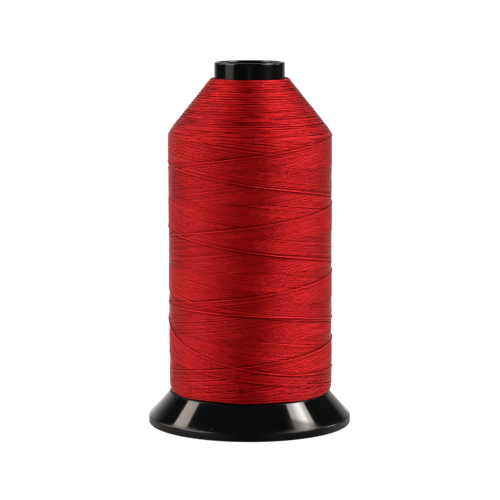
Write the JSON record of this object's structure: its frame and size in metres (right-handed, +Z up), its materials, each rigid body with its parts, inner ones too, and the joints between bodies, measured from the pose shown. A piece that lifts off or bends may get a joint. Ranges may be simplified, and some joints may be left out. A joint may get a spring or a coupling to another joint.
{
  "type": "thread spool",
  "caption": "Flanged tube wound with sewing thread to a conical shoulder, on a flared foot that snaps in and lifts to lock the thread's end.",
  "frame": {"origin": "centre of the foot's rim, on the surface it stands on", "axes": "+Z up along the tube's axis; the part is round about it, and +X and +Y lie midway between the ribs under the foot"},
  "size_m": [0.079, 0.079, 0.141],
  "materials": {
    "foot_plastic": "black, glossy as moulded",
    "tube_plastic": "black, satin to glossy as moulded",
    "thread": "red continuous-filament thread, slight sheen"
  },
  "bodies": {
    "foot": {"snap_foot": "foot_plastic"},
    "tube": {"flanged_tube": "tube_plastic", "thread_pack": "thread", "outer_turns": "thread"}
  },
  "joints": [
    {"name": "seam_lift", "type": "slide", "parent": "foot", "child": "tube", "axis": [0, 0, 1], "range_m": [0, 0.003]}
  ]
}
